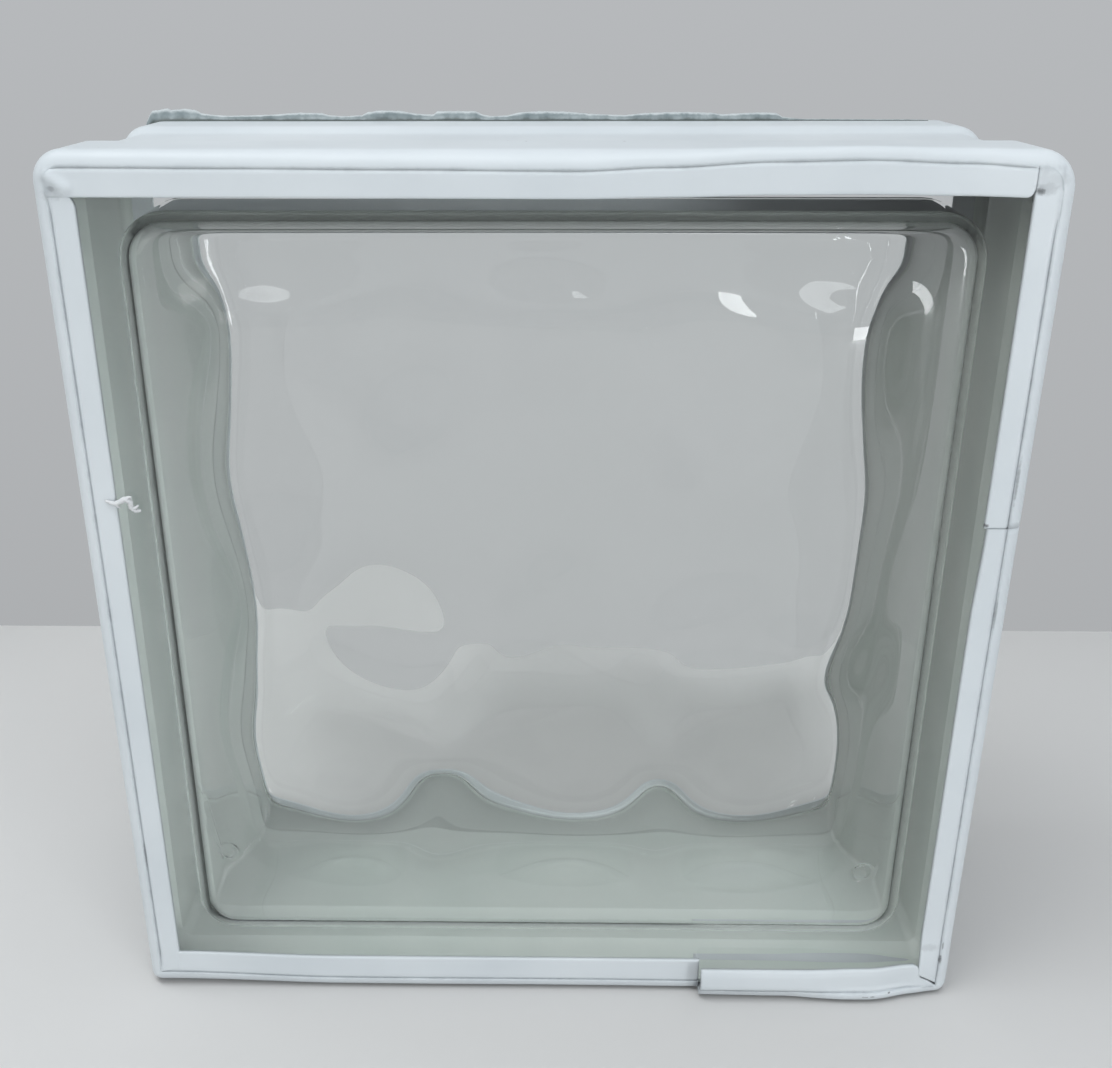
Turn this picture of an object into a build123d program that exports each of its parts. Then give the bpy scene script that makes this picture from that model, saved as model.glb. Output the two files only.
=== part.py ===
from build123d import *
import math
import os

# Square hollow glass block, standing on one edge, wrapped in a white vinyl edge strip.
# Millimetres. X runs across, Y from the front face to the rear face, Z up.
# The origin is at the middle of the footprint, on the level floor that the strip stands on.

# Glass body
glass_side = 196.85
glass_depth = 79.4
glass_corner_radius = 6.5
face_edge_radius = 2.3
lip_depth = 19.5
key_depth = 4.0
key_slope = 4.0

# Sealed cavity inside the glass
wall_inset = 11.4
plate_thickness = 8.5
cavity_corner_radius = 9.5
cavity_fillet = 5.5
wall_draft = 0.6
seam_height = 0.8
seam_half_width = 1.6
seam_steps = 3

# Wavy inner face of each plate, cut into the plate from a square step inside the fillet
wave_margin = 0.8
wave_rim = 0.4
wave_base = 2.3
wave_fade = 12.0
wave_sample_step = 5.6
wave_overhang = 3.0
wave_tolerance = 0.02
# Each swell is centre across, centre up, turn in degrees, half length, half width, height.
swells = [
    (-58, 67, 80, 14, 13, 1.7),
    (-30, 62, 60, 20, 14, -1.2),
    (4, 66, -40, 24, 15, 1.2),
    (32, 56, -60, 24, 14, -1.2),
    (57, 60, 90, 20, 13, 2.0),
    (81, 60, 90, 20, 12, -1.6),
    (-58, 34, 90, 12, 14, -1.3),
    (-59, 6, 90, 12, 13, 1.5),
    (-30, 32, 30, 20, 14, 0.9),
    (6, 24, -20, 20, 13, -1.2),
    (38, 16, 15, 15, 11, -1.5),
    (64, 32, 80, 12, 13, -0.8),
    (57, -10, 90, 10, 12, 1.8),
    (80, -12, 90, 11, 12, -1.6),
    (-34, -2, -50, 15, 11, -1.6),
    (-10, -6, 50, 18, 11, 1.5),
    (24, -10, 10, 18, 11, 1.2),
    (-62, -28, 0, 14, 12, -1.0),
    (-46, -58, 5, 13, 13, 1.9),
    (-48, -35, -10, 13, 11, -1.4),
    (-27, -58, 75, 12, 8, -1.3),
    (-25, -35, 75, 10, 8, 1.3),
    (5, -58, -8, 15, 13, 1.7),
    (8, -33, -8, 14, 11, -1.4),
    (26, -58, 100, 12, 7, -1.0),
    (26, -36, 100, 10, 7, 1.0),
    (46, -58, 0, 15, 13, 1.7),
    (48, -34, 10, 15, 11, -1.3),
]

# Vinyl edge strip, one channel section for both lengths
strip_thickness = 1.0
strip_valley = 1.6
strip_valley_slope = 4.0
side_flange_width = 4.9
top_flange_width = 5.4
bottom_flange_width = 6.4
flange_lip_bevel = 0.4
crease_width = 0.9
crease_depth = 0.35
crease_setback = 1.5
corner_slit = 0.4
lower_left_radius = 2.7
lower_right_radius = 2.9
upper_right_radius = 6.5
upper_left_radius = 5.2
upper_left_shoulder = 2.5
cut_end_radius = 1.5

# Where the two lengths of strip meet
side_joint_height = 123.6
bottom_joint_across = 37.6
joint_gap = 0.3

# Torn skin of sealant on the rear band of the strip
residue_thickness = 1.6
residue_setback = 0.2
# Points along the torn top edge: distance from the middle of the block, height above the strip.
residue_edge = [
    (-93.0, 0.9),
    (-91.4, 2.9),
    (-82.0, 3.2),
    (-79.5, 1.9),
    (-68.0, 1.6),
    (-60.5, 2.3),
    (-47.0, 1.8),
    (-36.0, 2.9),
    (-27.0, 2.0),
    (-16.0, 2.6),
    (-8.0, 1.7),
    (10.0, 2.6),
    (21.0, 1.8),
    (40.0, 2.3),
    (59.5, 2.2),
    (61.0, 0.5),
    (88.0, 0.3),
]

half_side = glass_side / 2
half_depth = glass_depth / 2
centre_height = half_side + strip_thickness
crease_half = half_side - face_edge_radius
window_across = crease_half - side_flange_width
window_top = crease_half - top_flange_width
window_bottom = -crease_half + bottom_flange_width
cavity_half = half_side - wall_inset
plate_face = half_depth - plate_thickness
patch_half = cavity_half - cavity_fillet - wave_margin


def section_plane(y):
    """Plane across the block at depth y, centred on the block's axis, seen from the front."""
    return Plane(origin=(0, y, centre_height), x_dir=(1, 0, 0), z_dir=(0, -1, 0))


def square_section(y, half, radii):
    """Square across the block at depth y. radii is one corner radius, or four from the lower left."""
    if isinstance(radii, (int, float)):
        radii = [radii] * 4
    corners = [(-half, -half), (half, -half), (half, half), (-half, half)]
    return section_plane(y) * make_face(FilletPolyline(*corners, radius=radii, close=True))


def stack_sections(stations):
    """Solid through rounded squares given as (y, half width, corner radius or radii)."""
    return loft([square_section(*station) for station in stations], ruled=True)


def mirrored(stations):
    """Stations from the front face to the middle, repeated from the middle to the rear face."""
    rear = [(-y, half, radius) for y, half, radius in reversed(stations)]
    return stations + rear


def face_rim_edges(body, y):
    """Edges of the body that lie in the plane at depth y."""
    tolerance = 0.01
    return body.edges().filter_by_position(Axis.Y, y - tolerance, y + tolerance)


def channel_envelope(offset, radii, slope_run, valley):
    """Outer form of the glass edge, or of a skin laid over it, with a channel round the sides."""
    face = half_depth + offset
    flat = [radius + offset for radius in radii]
    low = [radius + offset - valley for radius in radii]
    stations = [
        (-face, half_side + offset, flat),
        (-half_depth + lip_depth, half_side + offset, flat),
        (-half_depth + lip_depth + slope_run, half_side + offset - valley, low),
    ]
    body = stack_sections(mirrored(stations))
    rims = face_rim_edges(body, -face) + face_rim_edges(body, face)
    return fillet(rims, face_edge_radius + offset)


def border_fade(place):
    """0 at the border of the wavy square, rising smoothly to 1 a short way in."""
    share = min(max((patch_half - abs(place)) / wave_fade, 0), 1)
    return share * share * (3 - 2 * share)


def wave_height(x, z):
    """Depth of the wavy face below the flat rim, at x across and z up from the block's axis."""
    height = wave_base - wave_rim
    for centre_x, centre_z, turn, half_length, half_width, swell in swells:
        angle = math.radians(turn)
        along = (x - centre_x) * math.cos(angle) + (z - centre_z) * math.sin(angle)
        across = (z - centre_z) * math.cos(angle) - (x - centre_x) * math.sin(angle)
        height += swell * math.exp(-(along / half_length) ** 2 - (across / half_width) ** 2)
    return wave_rim + height * border_fade(x) * border_fade(z)


def wave_slab(side):
    """Hollow between the flat level of a plate and its wavy face. side is -1 for the front plate."""
    reach = patch_half + wave_overhang
    count = math.ceil(2 * reach / wave_sample_step)
    places = [reach * (2 * i / count - 1) for i in range(count + 1)]
    points = [
        [Vector(x, side * (plate_face + wave_height(-side * x, z)), centre_height + z) for x in places]
        for z in places
    ]
    skin = Face.make_surface_from_array_of_points(points, tol=wave_tolerance, min_deg=3, max_deg=5)
    glass_beyond = extrude(skin, amount=plate_thickness + wave_base, dir=(0, side, 0))
    plate = Box(2 * patch_half, plate_thickness, 2 * patch_half)
    return Pos(0, side * (plate_face + plate_thickness / 2), centre_height) * plate - glass_beyond


def cavity():
    """Sealed hollow: drafted walls with a raised seam round the middle, filleted to wavy plates."""
    stations = [(-plate_face, cavity_half, cavity_corner_radius)]
    for i in range(seam_steps + 1):
        angle = math.pi / 2 * i / seam_steps
        inward = seam_height * math.sin(angle) - wall_draft
        y = -seam_half_width * math.cos(angle)
        stations.append((y, cavity_half - inward, cavity_corner_radius - inward))
    middle = stations.pop()
    rear = [(-y, half, radius) for y, half, radius in reversed(stations)]
    hollow = stack_sections(stations + [middle] + rear)
    rims = face_rim_edges(hollow, -plate_face) + face_rim_edges(hollow, plate_face)
    hollow = fillet(rims, cavity_fillet)
    return hollow + wave_slab(-1) + wave_slab(1)


def glass_block():
    radii = [glass_corner_radius] * 4
    body = channel_envelope(0, radii, key_slope, key_depth)
    return body - cavity()


def window_section(y, grow):
    """Opening inside the flanges at depth y, made wider all round by grow."""
    width = 2 * (window_across + grow)
    height = window_top - window_bottom + 2 * grow
    middle = (window_top + window_bottom) / 2
    return section_plane(y) * Pos(0, middle) * Rectangle(width, height)


def window():
    """Opening through both flanges, bevelled where it meets their outer faces."""
    outer_face = half_depth + strip_thickness
    opening = extrude(window_section(-outer_face, 0), amount=-2 * outer_face)
    for side in (-1, 1):
        bevel = loft([
            window_section(side * outer_face, flange_lip_bevel),
            window_section(side * (outer_face - flange_lip_bevel), 0),
        ], ruled=True)
        opening += bevel
    return opening


def crease_grooves(side):
    """Narrow grooves in a flange face along the four lines where the vinyl bends over the glass."""
    outer_face = side * (half_depth + strip_thickness)
    floor = outer_face - side * crease_depth
    reach = crease_width / 2
    half_length = half_side - max(glass_corner_radius, upper_right_radius) + crease_setback
    start_plane = Plane(origin=(-half_length, 0, centre_height), x_dir=(0, 1, 0), z_dir=(1, 0, 0))
    profile = Polyline((outer_face, crease_half - reach), (floor, crease_half),
                       (outer_face, crease_half + reach), close=True)
    groove = extrude(start_plane * make_face(profile), amount=2 * half_length)
    middle = Axis((0, 0, centre_height), (0, 1, 0))
    return [groove.rotate(middle, 90 * turn) for turn in range(4)]


def flange_cut(x, z, width, height):
    """Boxes through the two flanges from the point (x, z). A negative size runs left or down."""
    x_align = Align.MIN if width > 0 else Align.MAX
    z_align = Align.MIN if height > 0 else Align.MAX
    return [
        Pos(x, side * (half_depth + strip_thickness / 2), centre_height + z)
        * Box(abs(width), 2 * strip_thickness, abs(height), align=(x_align, Align.CENTER, z_align))
        for side in (-1, 1)
    ]


def rounded_end(x, z, across, up, radius):
    """What a flange loses where its free corner at (x, z) is rounded. across and up point into it."""
    pieces = []
    for block in flange_cut(x, z, across * radius, up * radius):
        middle = block.bounding_box().center()
        pin = Pos(x + across * radius, middle.Y, centre_height + z + up * radius)
        pieces.append(block - pin * Rot(90, 0, 0) * Cylinder(radius, 3 * strip_thickness))
    return pieces


def corner_cuts():
    """Cuts in both flanges at three corners, where the strip was notched to bend it."""
    across = side_flange_width + face_edge_radius / 2
    down = bottom_flange_width + face_edge_radius / 2
    up = top_flange_width + face_edge_radius / 2
    cuts = flange_cut(-window_across, window_top - corner_slit, -across, corner_slit)
    cuts += flange_cut(window_across, window_top, corner_slit, up)
    cuts += flange_cut(window_across - corner_slit, window_bottom, corner_slit, -down)
    cuts += rounded_end(-window_across, window_top - corner_slit, -1, -1, upper_left_shoulder)
    cuts += rounded_end(window_across, window_top, -1, 1, cut_end_radius)
    cuts += rounded_end(window_across - corner_slit, window_bottom, -1, -1, cut_end_radius)
    return cuts


def strip_ring():
    """The channel all the way round, before it is parted into two lengths."""
    radii = [lower_left_radius, lower_right_radius, upper_right_radius, upper_left_radius]
    outside = channel_envelope(strip_thickness, radii, strip_valley_slope, strip_valley)
    inside = channel_envelope(0, radii, strip_valley_slope, strip_valley)
    ring = outside - inside - window()
    for side in (-1, 1):
        for groove in crease_grooves(side):
            ring -= groove
    for cut in corner_cuts():
        ring -= cut
    return ring


def lower_right_region(grow):
    """Box round the lower right corner, as far as the two joints, moved out by grow."""
    reach = glass_side
    left = bottom_joint_across - grow
    top = side_joint_height + grow
    return Box(reach, reach, reach, align=(Align.MIN, Align.CENTER, Align.MAX)).translate(
        Vector(left, 0, top))


def edge_strips():
    ring = strip_ring()
    long_piece = ring - lower_right_region(joint_gap / 2)
    short_piece = ring & lower_right_region(-joint_gap / 2)
    return long_piece, short_piece


def sealant_residue():
    """Thin torn wall of sealant that stands on the flat of the rear band."""
    base = centre_height + half_side + strip_thickness
    rear_y = half_depth - face_edge_radius - residue_setback
    outline = [(residue_edge[0][0], 0)] + residue_edge + [(residue_edge[-1][0], 0)]
    wall_plane = Plane(origin=(0, rear_y, base), x_dir=(1, 0, 0), z_dir=(0, -1, 0))
    profile = wall_plane * make_face(Polyline(*outline, close=True))
    return extrude(profile, amount=residue_thickness)


os.makedirs("parts", exist_ok=True)
long_strip, short_strip = edge_strips()
nodes = {
    "glass_block": glass_block(),
    "edge_strip_long": long_strip,
    "edge_strip_short": short_strip,
    "sealant_residue": sealant_residue(),
}
for name, shape in nodes.items():
    shape.label = name
    export_step(shape, "parts/" + name + ".step")
    box = shape.bounding_box()
    print(name, round(shape.volume), box.min, box.max)
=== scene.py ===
import math

import bpy
import numpy as np
from mathutils import Euler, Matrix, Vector


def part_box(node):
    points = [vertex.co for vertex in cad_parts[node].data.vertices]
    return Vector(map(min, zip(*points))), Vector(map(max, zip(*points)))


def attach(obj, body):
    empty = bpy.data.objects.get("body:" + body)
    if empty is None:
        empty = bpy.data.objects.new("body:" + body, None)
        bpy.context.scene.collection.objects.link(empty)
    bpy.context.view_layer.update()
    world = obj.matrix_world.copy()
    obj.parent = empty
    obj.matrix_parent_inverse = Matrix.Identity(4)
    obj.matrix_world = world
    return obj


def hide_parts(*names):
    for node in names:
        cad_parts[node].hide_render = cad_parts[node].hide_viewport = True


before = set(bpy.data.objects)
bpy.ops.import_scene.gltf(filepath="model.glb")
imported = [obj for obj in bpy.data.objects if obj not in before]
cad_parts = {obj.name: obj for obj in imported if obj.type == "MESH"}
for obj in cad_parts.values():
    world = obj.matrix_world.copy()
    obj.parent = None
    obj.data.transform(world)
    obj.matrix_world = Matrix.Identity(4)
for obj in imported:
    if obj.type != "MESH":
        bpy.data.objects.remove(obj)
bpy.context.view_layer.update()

# All lengths below are metres unless a name says otherwise.
MM = 0.001
block_low, block_high = (Vector(corner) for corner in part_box("glass_block"))
short_low, short_high = (Vector(corner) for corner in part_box("edge_strip_short"))
residue_low, residue_high = (Vector(corner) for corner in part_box("sealant_residue"))
strip_high = Vector(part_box("edge_strip_long")[1])

half_side = (block_high.x - block_low.x) / 2
half_depth = (block_high.y - block_low.y) / 2
centre_height = (block_high.z + block_low.z) / 2
strip_thickness = strip_high.x - block_high.x

# Photograph and camera
PHOTO_WIDTH, PHOTO_HEIGHT = 1112, 1068
FOCAL_PIXELS = 1303.0
AXIS_PIXEL = (528.3, 613.3)
CAMERA_PLACE = (-0.0002, -0.2982, 0.2211)
CAMERA_DOWN, CAMERA_LEFT, CAMERA_ROLL = 24.52, -0.96, -0.10


def make_camera():
    data = bpy.data.cameras.new("camera")
    data.sensor_width = 36.0
    data.lens = FOCAL_PIXELS * data.sensor_width / PHOTO_WIDTH
    data.shift_x = (PHOTO_WIDTH / 2 - AXIS_PIXEL[0]) / PHOTO_WIDTH
    data.shift_y = (AXIS_PIXEL[1] - PHOTO_HEIGHT / 2) / PHOTO_WIDTH
    data.clip_start = 0.01
    camera = bpy.data.objects.new("camera", data)
    camera.location = CAMERA_PLACE
    camera.rotation_mode = "XYZ"
    turn = Euler((math.radians(90 - CAMERA_DOWN), 0, math.radians(-CAMERA_LEFT)), "XYZ").to_matrix()
    roll = Euler((0, 0, math.radians(CAMERA_ROLL)), "XYZ").to_matrix()
    camera.rotation_euler = (turn @ roll).to_euler("XYZ")
    bpy.context.scene.collection.objects.link(camera)
    bpy.context.scene.camera = camera


# Node material helpers
def new_material(name):
    material = bpy.data.materials.new(name)
    material.use_nodes = True
    tree = material.node_tree
    tree.nodes.clear()
    output = tree.nodes.new("ShaderNodeOutputMaterial")
    return material, tree, output


def add_node(tree, kind, **values):
    node = tree.nodes.new(kind)
    for key, value in values.items():
        if hasattr(node, key) and key not in node.inputs:
            setattr(node, key, value)
        else:
            node.inputs[key].default_value = value
    return node


def principled(tree, colour, roughness, **more):
    shader = tree.nodes.new("ShaderNodeBsdfPrincipled")
    shader.inputs["Base Color"].default_value = (*colour, 1)
    shader.inputs["Roughness"].default_value = roughness
    for key, value in more.items():
        shader.inputs[key.replace("_", " ")].default_value = value
    return shader


# Stage
FLOOR_COLOUR = (0.80, 0.80, 0.79)
WALL_COLOUR = (0.74, 0.74, 0.74)
# The backdrop's painted light, with painted shade darker at its foot
WALL_LOW, WALL_HIGH = (0.418, 0.430, 0.442, 1), (0.510, 0.525, 0.543, 1)
WALL_Y = 0.172
WALL_TONE_HEIGHT = 0.4
FLOOR_SIZE = 3.0


def make_stage():
    floor_material, tree, output = new_material("pale floor")
    shader = principled(tree, FLOOR_COLOUR, 0.7)
    noise = add_node(tree, "ShaderNodeTexNoise", Scale=9.0, Detail=3.0)
    ramp = tree.nodes.new("ShaderNodeMapRange")
    ramp.inputs["To Min"].default_value = 0.66
    ramp.inputs["To Max"].default_value = 0.74
    tree.links.new(noise.outputs["Fac"], ramp.inputs["Value"])
    tree.links.new(ramp.outputs["Result"], shader.inputs["Roughness"])
    tree.links.new(shader.outputs["BSDF"], output.inputs["Surface"])
    bpy.ops.mesh.primitive_plane_add(size=FLOOR_SIZE, location=(0, 0, 0))
    floor = bpy.context.object
    floor.name = "floor"
    floor.data.materials.append(floor_material)

    # The backdrop glows with painted light for the camera, for glossy rays and through the glass,
    # with painted shade darker towards its foot. It is clear from behind, so that the block's rear can be
    # looked at.
    wall_material, tree, output = new_material("pale backdrop")
    link = tree.links.new
    shader = principled(tree, WALL_COLOUR, 0.8)
    coordinates = tree.nodes.new("ShaderNodeTexCoord")
    parts = tree.nodes.new("ShaderNodeSeparateXYZ")
    link(coordinates.outputs["Object"], parts.inputs[0])
    height = tree.nodes.new("ShaderNodeMapRange")
    height.inputs["From Min"].default_value = -FLOOR_SIZE / 2
    height.inputs["From Max"].default_value = WALL_TONE_HEIGHT - FLOOR_SIZE / 2
    link(parts.outputs["Y"], height.inputs["Value"])
    tones = tree.nodes.new("ShaderNodeValToRGB")
    tones.color_ramp.elements[0].color = WALL_LOW
    tones.color_ramp.elements[1].color = WALL_HIGH
    link(height.outputs["Result"], tones.inputs["Fac"])
    # Painted light: the backdrop's glow, with painted shade at its foot
    painted_glow = tree.nodes.new("ShaderNodeEmission")
    link(tones.outputs["Color"], painted_glow.inputs["Color"])
    path = tree.nodes.new("ShaderNodeLightPath")
    seen = path.outputs["Is Camera Ray"]
    for kind in ("Is Glossy Ray", "Is Transmission Ray"):
        either = tree.nodes.new("ShaderNodeMath")
        either.operation = "MAXIMUM"
        link(seen, either.inputs[0])
        link(path.outputs[kind], either.inputs[1])
        seen = either.outputs[0]
    clear = tree.nodes.new("ShaderNodeBsdfTransparent")
    side = tree.nodes.new("ShaderNodeNewGeometry")
    surface = shader.outputs["BSDF"]
    for share, other in ((seen, painted_glow.outputs["Emission"]),
                         (side.outputs["Backfacing"], clear.outputs["BSDF"])):
        mix = tree.nodes.new("ShaderNodeMixShader")
        link(share, mix.inputs["Fac"])
        link(surface, mix.inputs[1])
        link(other, mix.inputs[2])
        surface = mix.outputs["Shader"]
    link(surface, output.inputs["Surface"])
    bpy.ops.mesh.primitive_plane_add(size=FLOOR_SIZE, location=(0, WALL_Y, FLOOR_SIZE / 2),
                                     rotation=(math.pi / 2, 0, 0))
    wall = bpy.context.object
    wall.name = "backdrop"
    wall.data.materials.append(wall_material)


def area_light(name, place, aim, size, power, colour=(1, 1, 1)):
    data = bpy.data.lights.new(name, "AREA")
    data.shape = "RECTANGLE"
    data.size, data.size_y = size
    data.energy = power
    data.color = colour
    lamp = bpy.data.objects.new(name, data)
    lamp.location = place
    lamp.rotation_euler = (Vector(aim) - Vector(place)).to_track_quat("-Z", "Y").to_euler()
    bpy.context.scene.collection.objects.link(lamp)


def make_lights():
    area_light("ceiling", (-0.2, -0.26, 1.1), (0, 0, 0.1), (1.3, 0.35), 5.2, (0.95, 0.98, 1))
    area_light("window", (0.68, -0.88, 0.14), (0, 0, 0.1), (0.22, 0.33), 2.4, (0.96, 0.98, 1))
    area_light("room", (-0.72, -0.62, 0.42), (0.05, 0, 0.1), (0.5, 0.5), 1.2, (1, 0.99, 0.96))
    world = bpy.data.worlds.new("world")
    bpy.context.scene.world = world
    world.use_nodes = True
    background = world.node_tree.nodes["Background"]
    background.inputs["Color"].default_value = (0.93, 0.96, 1, 1)
    background.inputs["Strength"].default_value = 0.50


# Rounded square outlines, nested by how far out they lie
def outline(half, radius, side_steps, corner_steps):
    """Points (x, z) of a rounded square about the block's axis, from the left end of its bottom side
    anticlockwise seen from the front. Each side and each corner has its own even steps."""
    radius = max(radius, 1e-5)
    flat = half - radius
    points = []
    for quarter in range(4):
        turn = quarter * math.pi / 2
        c, s = math.cos(turn), math.sin(turn)
        local = [(-flat + 2 * flat * i / side_steps, -half) for i in range(side_steps)]
        for i in range(corner_steps):
            angle = -math.pi / 2 + math.pi / 2 * i / corner_steps
            local.append((flat + radius * math.cos(angle), -flat + radius * math.sin(angle)))
        points += [(x * c - z * s, x * s + z * c) for x, z in local]
    return np.array(points)


def ring_faces(first, second, count, flip=False):
    """Quads between two rings of equal count that start at these vertex numbers."""
    faces = []
    for i in range(count):
        j = (i + 1) % count
        quad = (first + i, first + j, second + j, second + i)
        faces.append(quad[::-1] if flip else quad)
    return faces


def new_object(name, vertices, faces, material):
    mesh = bpy.data.meshes.new(name)
    mesh.from_pydata([tuple(v) for v in vertices], [], faces)
    mesh.validate()
    mesh.update()
    mesh.shade_smooth()
    mesh.materials.append(material)
    piece = bpy.data.objects.new(name, mesh)
    bpy.context.scene.collection.objects.link(piece)
    return piece


# Glass block. Sizes repeat the CAD model's, in millimetres.
GLASS_CORNER_RADIUS = 6.5
FACE_EDGE_RADIUS = 2.3
LIP_DEPTH = 19.5
KEY_DEPTH = 4.0
KEY_SLOPE = 4.0
WALL_INSET = 11.4
PLATE_THICKNESS = 8.5
CAVITY_CORNER_RADIUS = 9.5
CAVITY_FILLET = 5.5
WALL_DRAFT = 0.6
SEAM_HEIGHT = 0.8
SEAM_HALF_WIDTH = 1.6
WAVE_MARGIN = 2.2
WAVE_BASE = 2.3
WAVE_FADE = 14.5
FRONT_LOW_FADE = 25.0
SWELLS = [
    (-58, 67, 80, 14, 13, 1.7),
    (-30, 62, 60, 20, 14, -1.2),
    (4, 66, -40, 24, 15, 1.2),
    (32, 56, -60, 24, 14, -1.2),
    (57, 60, 90, 20, 13, 2.0),
    (81, 60, 90, 20, 12, -1.6),
    (-58, 34, 90, 12, 14, -1.3),
    (-59, 6, 90, 12, 13, 1.5),
    (-30, 32, 30, 20, 14, 0.9),
    (6, 24, -20, 20, 13, -1.2),
    (38, 16, 15, 15, 11, -1.5),
    (64, 32, 80, 12, 13, -0.8),
    (57, -10, 90, 10, 12, 1.8),
    (80, -12, 90, 11, 12, -1.6),
    (-34, -2, -50, 15, 11, -1.6),
    (-10, -6, 50, 18, 11, 1.5),
    (24, -10, 10, 18, 11, 1.2),
    (-62, -28, 0, 14, 12, -1.0),
    (-46, -58, 5, 13, 13, 1.9),
    (-48, -35, -10, 13, 11, -1.4),
    (-27, -58, 75, 12, 8, -1.3),
    (-25, -35, 75, 10, 8, 1.3),
    (5, -58, -8, 15, 13, 1.7),
    (8, -33, -8, 14, 11, -1.4),
    (26, -58, 100, 12, 7, -1.0),
    (26, -36, 100, 10, 7, 1.0),
    (46, -58, 0, 15, 13, 1.7),
    (48, -34, 10, 15, 11, -1.3),
]
# Round marks left by the mould on the front plate: across, up, radius
MOULD_MARKS = [(-77.6, -62.7, 2.1), (76.6, -67.4, 2.1)]
MOULD_MARK_HEIGHT = 0.3
MOULD_MARK_WIDTH = 0.4
GRID_STEPS = 150
GRID_FOCUS = 1.6
GRID_FOCUS_REACH = 3.2
EDGE_STEPS = 9
SEAM_STEPS = 6
SUPPORT_STEP = 0.4
CAVITY_CORNER_STEPS = 8
SKIN_SIDE_STEPS = 30
SKIN_CORNER_STEPS = 8


def border_fade(place, low_fade=WAVE_FADE):
    """0 at the border of the wavy square, rising smoothly to 1 at a short way in. low_fade is how
    far in for places below the middle."""
    border = half_side / MM - WALL_INSET - CAVITY_FILLET - WAVE_MARGIN
    share = np.clip((border - np.abs(place)) / np.where(place < 0, low_fade, WAVE_FADE), 0, 1)
    return share * share * (3 - 2 * share)


def wave_height(x, z, low_fade):
    """Depth in millimetres of the wavy face below its flat rim, at x and z millimetres from the axis."""
    height = np.full(np.shape(x), WAVE_BASE)
    for centre_x, centre_z, turn, half_length, half_width, swell in SWELLS:
        angle = math.radians(turn)
        along = (x - centre_x) * math.cos(angle) + (z - centre_z) * math.sin(angle)
        across = (z - centre_z) * math.cos(angle) - (x - centre_x) * math.sin(angle)
        height = height + swell * np.exp(-(along / half_length) ** 2 - (across / half_width) ** 2)
    return height * border_fade(x) * border_fade(z, low_fade)


def mould_mark_height(x, z):
    """Height in millimetres of the raised rims of the round mould marks."""
    height = np.zeros(np.shape(x))
    for centre_x, centre_z, radius in MOULD_MARKS:
        away = np.hypot(x - centre_x, z - centre_z)
        height = height + MOULD_MARK_HEIGHT * np.exp(-((away - radius) / MOULD_MARK_WIDTH) ** 2)
    return height


def grid_line(patch_half, focus):
    """Places of the grid's lines from border to border, closer together round the focus places."""
    fine = np.linspace(-patch_half, patch_half, 4001)
    density = np.ones(fine.shape)
    for place in focus:
        density += GRID_FOCUS * np.exp(-((fine - place) / GRID_FOCUS_REACH) ** 4)
    total = np.concatenate([[0], np.cumsum((density[1:] + density[:-1]) / 2)])
    return np.interp(np.linspace(0, total[-1], GRID_STEPS + 1), total, fine)


def skin_profile():
    """Side of the block in section, from the front face to the rear: (y, outward), millimetres.
    Short support steps beside each bend keep the shading crisp."""
    face = half_depth / MM
    lip_end, key_start = -face + LIP_DEPTH, -face + LIP_DEPTH + KEY_SLOPE
    half_profile = [(-face, -FACE_EDGE_RADIUS - SUPPORT_STEP)]
    half_profile += [(-face + FACE_EDGE_RADIUS * (1 - math.cos(a)), -FACE_EDGE_RADIUS * (1 - math.sin(a)))
                     for a in np.linspace(0, math.pi / 2, EDGE_STEPS)]
    half_profile += [(-face + FACE_EDGE_RADIUS + SUPPORT_STEP, 0), (lip_end - SUPPORT_STEP, 0), (lip_end, 0)]
    half_profile += [(key_start + step, -KEY_DEPTH) for step in (0, SUPPORT_STEP, 10 * SUPPORT_STEP)]
    return [(y, e) for y, e in half_profile] + [(-y, e) for y, e in reversed(half_profile)]


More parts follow.
